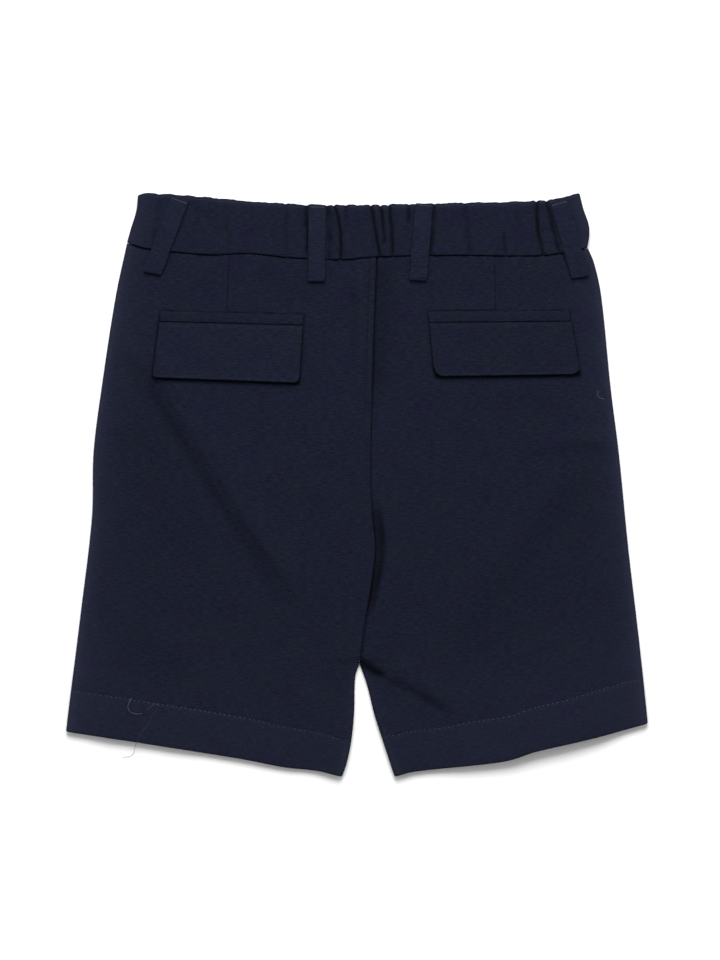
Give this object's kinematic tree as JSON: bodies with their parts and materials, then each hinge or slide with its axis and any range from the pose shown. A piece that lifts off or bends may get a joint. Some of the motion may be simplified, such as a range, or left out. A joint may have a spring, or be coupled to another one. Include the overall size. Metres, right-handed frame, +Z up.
{
  "type": "bermuda shorts",
  "caption": "Child's bermuda shorts laid flat with the back up, with a gathered elastic back waistband, belt loops and flapped back pockets.",
  "frame": {"origin": "on the table, under the middle of the garment's outline", "axes": "+X across the garment to the viewer's right, +Y towards the waist, +Z up from the table through the front and then the back"},
  "size_m": [0.3608, 0.362, 0.0103],
  "materials": {
    "suiting": "matt navy wool suiting in a fine plain weave",
    "thread": "slightly lighter navy sewing thread"
  },
  "bodies": {
    "root": {"back_left": "suiting", "back_right": "suiting", "front_left": "suiting", "front_right": "suiting", "waistband_back": "suiting", "waistband_front": "suiting", "belt_loop_1": "suiting", "belt_loop_2": "suiting", "belt_loop_3": "suiting", "belt_loop_4": "suiting", "pocket_welt_left": "suiting", "pocket_flap_left": "suiting", "pocket_welt_right": "suiting", "pocket_flap_right": "suiting"}
  },
  "joints": []
}
